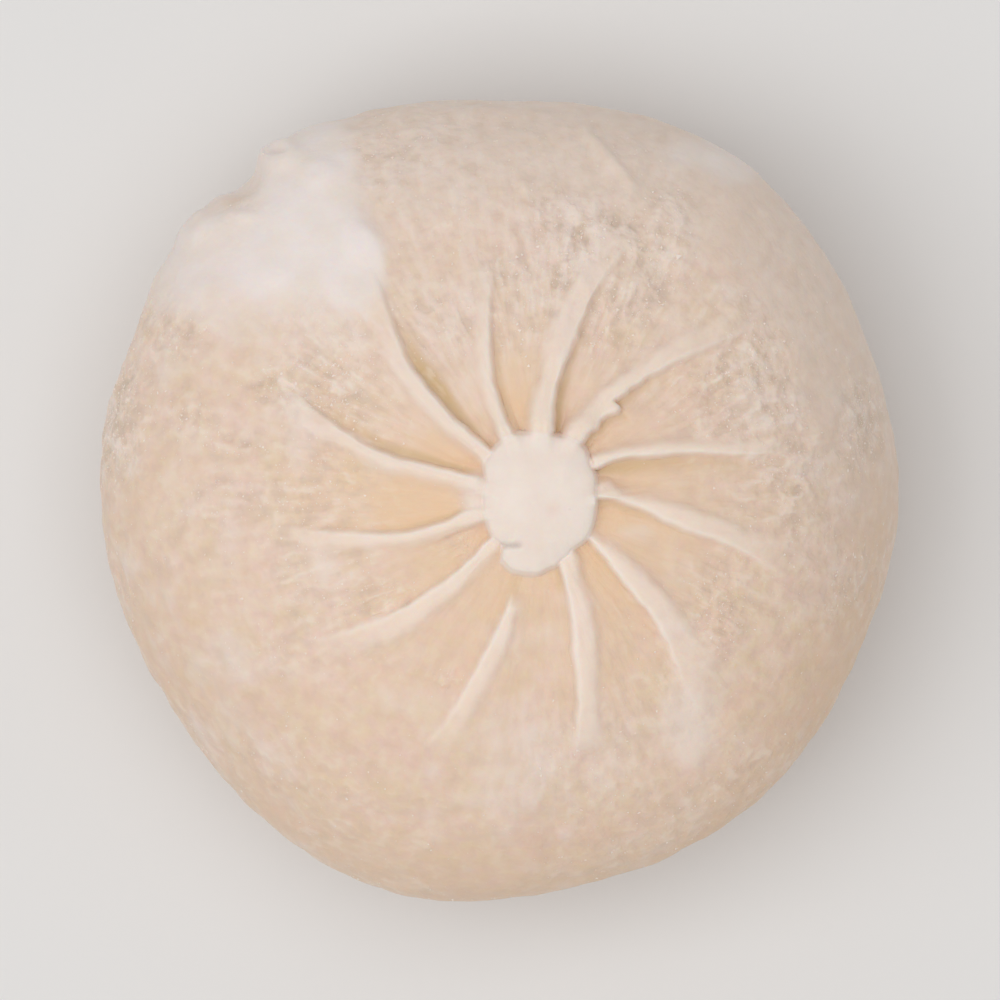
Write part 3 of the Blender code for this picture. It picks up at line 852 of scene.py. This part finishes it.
dough = bpy.data.materials.new("dough")
dough.use_nodes = True
tree = dough.node_tree
shader = tree.nodes["Principled BSDF"]
place = tree.nodes.new("ShaderNodeTexCoord").outputs["Object"]
on_drum = tree.nodes.new("ShaderNodeAttribute")
on_drum.attribute_name = "drum"
cloudy = texture(tree, place, *CLOUDY)
grainy = texture(tree, place, *GRAINY)
fine = texture(tree, place, *FINE)
blotches = texture(tree, place, *BLOTCHY)
strokes = texture(tree, on_drum.outputs["Vector"], *STROKED)
grit = combine(tree, "ADD", combine(tree, "MULTIPLY", strokes, 0.5), combine(tree, "MULTIPLY", grainy, 0.5))
mottled = combine(tree, "MULTIPLY", combine(tree, "ADD", cloudy, grainy), 0.5)
colour = blend_colour(tree, remap(tree, mottled, *MOST, 0.0, 1.0), DOUGH_ROSY, DOUGH_CREAM)
uneven = combine(tree, "ADD", mask_times(tree, "grain", 0.8), 0.6)
shady = combine(tree, "MULTIPLY", remap(tree, blotches, 0.50, 0.34, 0.0, 0.40), uneven)
colour = blend_colour(tree, shady, colour, DOUGH_SHADY)
pale = combine(tree, "MULTIPLY", remap(tree, blotches, 0.54, 0.68, 0.0, 0.42), uneven)
colour = blend_colour(tree, pale, colour, DOUGH_PALE)
# Bare, unfrosted dough down the sides with painted shade, strongest towards one heading.
colour = blend_colour(tree, mask(tree, "bare_and_shade"), colour, DOUGH_BARE_SHADED)
# Warmer folds: partly unfrosted dough, partly painted bounce light.
colour = blend_colour(tree, mask(tree, "fold"), colour, DOUGH_FOLD_WARM_AND_BOUNCE)
# Painted shade in the deep folds beside the steep sides, where the dough also has less frost.
colour = blend_colour(tree, mask(tree, "deep_fold_shade"), colour, DOUGH_DEEP_SHADE)
# Crests paler for their frost and thin dough, and partly as a painted highlight.
colour = blend_colour(tree, mask_times(tree, "crest", 0.75), colour, DOUGH_CREST_FROST_AND_HIGHLIGHT)
# Painted highlight along the brink of each steep side, partly its frost.
colour = blend_colour(tree, mask_times(tree, "brink_highlight", 0.6), colour, DOUGH_BRINK_HIGHLIGHT)
smooth = blend_colour(tree, remap(tree, cloudy, *MOST, 0.0, 1.0), DOUGH_KNOT, DOUGH_KNOT_PALE)
colour = blend_colour(tree, mask(tree, "knot"), colour, smooth)
colour = blend_colour(tree, mask_times(tree, "blush", 0.7), colour, DOUGH_BLUSH)
# Painted shade in the knot's crease.
colour = blend_colour(tree, mask_times(tree, "crease", 0.6), colour, DOUGH_CREASE_SHADE)
veil = combine(tree, "MULTIPLY", mask(tree, "frost"), remap(tree, strokes, *MOST, 0.55, 1.0))
colour = blend_colour(tree, veil, colour, VEIL)
colour = blend_colour(tree, mask_times(tree, "even", 0.75), colour, DOUGH_EVEN)
rough = combine(tree, "ADD", mask_times(tree, "grain", 0.85), 0.12)
rough = combine(tree, "MULTIPLY", rough, remap(tree, mask(tree, "knot"), 0.0, 1.0, 1.0, 0.2))
# Painted shade in the low places of the grit, between the crumbs of frost.
pit_shade = combine(tree, "MULTIPLY", remap(tree, grit, 0.48, 0.36, 0.0, 0.70), rough)
colour = blend_colour(tree, pit_shade, colour, PIT_SHADE)
crumbs = combine(tree, "MULTIPLY", remap(tree, grit, 0.52, 0.64, 0.0, 0.75), rough)
colour = blend_colour(tree, crumbs, colour, CRUMB)
frozen = blend_colour(tree, remap(tree, cloudy, 0.4, 0.6, 0.0, 1.0), SHEET_COOL, SHEET_WARM)
# The frost sheet, and over the film the frost's painted highlight.
colour = blend_colour(tree, mask(tree, "sheet"), colour, frozen)
tree.links.new(colour, shader.inputs["Base Color"])
tree.links.new(remap(tree, grainy, 0.3, 0.7, 0.62, 0.86), shader.inputs["Roughness"])
raised = combine(tree, "MULTIPLY", remap(tree, grit, 0.36, 0.64, 0.0, 1.0), rough)
raised = combine(tree, "ADD", raised, combine(tree, "MULTIPLY", fine, 0.07))
bump = tree.nodes.new("ShaderNodeBump")
bump.inputs["Strength"].default_value = 0.7
bump.inputs["Distance"].default_value = 0.25 * MM
tree.links.new(raised, bump.inputs["Height"])
tree.links.new(bump.outputs["Normal"], shader.inputs["Normal"])
shader.inputs["Subsurface Weight"].default_value = 0.35
shader.inputs["Subsurface Radius"].default_value = (1.0, 0.55, 0.3)
shader.inputs["Subsurface Scale"].default_value = 1.2 * MM
shader.inputs["Specular IOR Level"].default_value = 0.35
shader.inputs["Sheen Weight"].default_value = 0.12
shader.inputs["Sheen Roughness"].default_value = 0.5
wrapper.data.materials.append(dough)
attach(wrapper, "root")
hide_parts("dumpling")


# Rime: fine ice crystals grown on the frozen dough. They sit half sunk in it, thick where the dough is rough
# and very sparse elsewhere. Each is an uneven eight-sided crystal at true size.
CRYSTAL_COUNT = 14000
CRYSTAL_SIZE = 0.045 * MM
CRYSTAL_LARGEST = 0.13 * MM
CRYSTAL_SUNK = 0.45
CRYSTAL_SPREAD = 0.5
RIME_ELSEWHERE = 0.003
RIME_FROM = 1.0 * MM
# Single bright crumbs of frost: place in plan and half size (mm).
CRUMBS = (
    (10.1, 13.7, 0.24), (14.1, -1.4, 0.20), (10.0, 17.4, 0.17), (4.3, 9.0, 0.15), (6.3, 9.4, 0.12),
    (-5.9, 10.6, 0.15),
)
ICE_CLOUDY = (900.0, 2.0, 0.5)
ICE_DULL = (0.87, 0.72, 0.61)
ICE_BRIGHT = (0.95, 0.86, 0.79)

draws = np.random.default_rng(31)
triangles = np.concatenate((quads[:, [0, 1, 2]], quads[:, [0, 2, 3]]))
corners = body[triangles]
across = np.cross(corners[:, 1] - corners[:, 0], corners[:, 2] - corners[:, 0])
area = np.linalg.norm(across, axis=1)
across = across / np.maximum(area, 1e-18)[:, None]
icy = (masks["grain"] ** 2 + RIME_ELSEWHERE)[triangles].mean(axis=1)
icy = icy * (height[triangles].mean(axis=1) > RIME_FROM)
chosen = draws.choice(len(triangles), CRYSTAL_COUNT, p=area * icy / (area * icy).sum())
weights = draws.dirichlet((1.0, 1.0, 1.0), CRYSTAL_COUNT)
middles = (corners[chosen] * weights[:, :, None]).sum(axis=1)
sizes = np.minimum(CRYSTAL_SIZE * draws.lognormal(0.0, CRYSTAL_SPREAD, CRYSTAL_COUNT), CRYSTAL_LARGEST)
tips = np.array([(1, 0, 0), (-1, 0, 0), (0, 1, 0), (0, -1, 0), (0, 0, 1), (0, 0, -1)], float)
sides = np.array([(0, 2, 4), (2, 1, 4), (1, 3, 4), (3, 0, 4), (2, 0, 5), (1, 2, 5), (3, 1, 5), (0, 3, 5)])
for number, (crumb_x, crumb_y, size) in enumerate(CRUMBS):
    from_crumb = np.hypot(corners[:, 0, 0] - crumb_x * MM, corners[:, 0, 1] - crumb_y * MM)
    chosen[number] = np.argmin(np.where(across[:, 2] > 0.0, from_crumb, 1.0))
    middles[number] = corners[chosen[number]].mean(axis=0)
    sizes[number] = size * MM
middles -= across[chosen] * (CRYSTAL_SUNK * sizes)[:, None]
shapes = tips * draws.uniform(0.7, 1.3, (CRYSTAL_COUNT, 6, 1)) * sizes[:, None, None]
turns = np.linalg.qr(draws.normal(size=(CRYSTAL_COUNT, 3, 3)))[0]
turns *= np.sign(np.linalg.det(turns))[:, None, None]
crystals = np.einsum("nij,nkj->nki", turns, shapes) + middles[:, None, :]
crystal_faces = sides[None] + 6 * np.arange(CRYSTAL_COUNT)[:, None, None]
rime = make_mesh("rime", crystals.reshape(-1, 3), (crystal_faces.reshape(-1, 3),), False)

ice = bpy.data.materials.new("ice")
ice.use_nodes = True
tree = ice.node_tree
shader = tree.nodes["Principled BSDF"]
place = tree.nodes.new("ShaderNodeTexCoord").outputs["Object"]
cloudy = texture(tree, place, *ICE_CLOUDY)
tree.links.new(blend_colour(tree, cloudy, ICE_DULL, ICE_BRIGHT), shader.inputs["Base Color"])
tree.links.new(remap(tree, cloudy, 0.3, 0.7, 0.3, 0.6), shader.inputs["Roughness"])
rime.data.materials.append(ice)
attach(rime, "root")


# Studio: a plain pale floor, soft light from all round with a broad lamp to the left, and a camera straight
# above the dumpling, as in the photograph.
VIEW_WIDTH = 57.0 * MM
LENS = 900.0
SENSOR = 36.0
FLOOR_HALF = 2.0
PAPER_CLOUDY = (40.0, 2.0, 0.5)
PAPER_DULL = (0.80, 0.79, 0.78)
PAPER_BRIGHT = (0.83, 0.82, 0.81)
SKY_STRENGTH = 0.525

floor_corners = FLOOR_HALF * np.array([(-1, -1, 0), (1, -1, 0), (1, 1, 0), (-1, 1, 0)])
floor = make_mesh("floor", floor_corners, (np.array([(0, 1, 2, 3)]),), False)
paper = bpy.data.materials.new("paper")
paper.use_nodes = True
tree = paper.node_tree
shader = tree.nodes["Principled BSDF"]
place = tree.nodes.new("ShaderNodeTexCoord").outputs["Object"]
shade = blend_colour(tree, texture(tree, place, *PAPER_CLOUDY), PAPER_DULL, PAPER_BRIGHT)
tree.links.new(shade, shader.inputs["Base Color"])
shader.inputs["Roughness"].default_value = 0.9
floor.data.materials.append(paper)

world = bpy.data.worlds.new("studio")
bpy.context.scene.world = world
world.use_nodes = True
world.node_tree.nodes["Background"].inputs["Color"].default_value = (1.0, 1.0, 1.0, 1.0)
world.node_tree.nodes["Background"].inputs["Strength"].default_value = SKY_STRENGTH


def lamp(name, place, size, power):
    """A square soft lamp that faces the dumpling."""
    light = bpy.data.lights.new(name, "AREA")
    light.size = size
    light.energy = power
    thing = bpy.data.objects.new(name, light)
    thing.location = place
    thing.rotation_mode = "QUATERNION"
    thing.rotation_quaternion = Vector(place).to_track_quat("Z", "Y")
    bpy.context.scene.collection.objects.link(thing)


lamp("broad_lamp", place=(-0.31, -0.07, 0.63), size=0.40, power=1.06)
lamp("top_lamp", place=(0.0, 0.0, 0.8), size=0.5, power=1.42)

view = bpy.data.cameras.new("view")
view.lens = LENS
view.sensor_width = SENSOR
view.clip_start = 0.01
view.clip_end = 10.0
camera = bpy.data.objects.new("camera", view)
camera.location = (0.0, 0.0, WIDEST_HEIGHT + VIEW_WIDTH * LENS / SENSOR)
bpy.context.scene.collection.objects.link(camera)
bpy.context.scene.camera = camera
bpy.context.scene.view_settings.view_transform = "Standard"
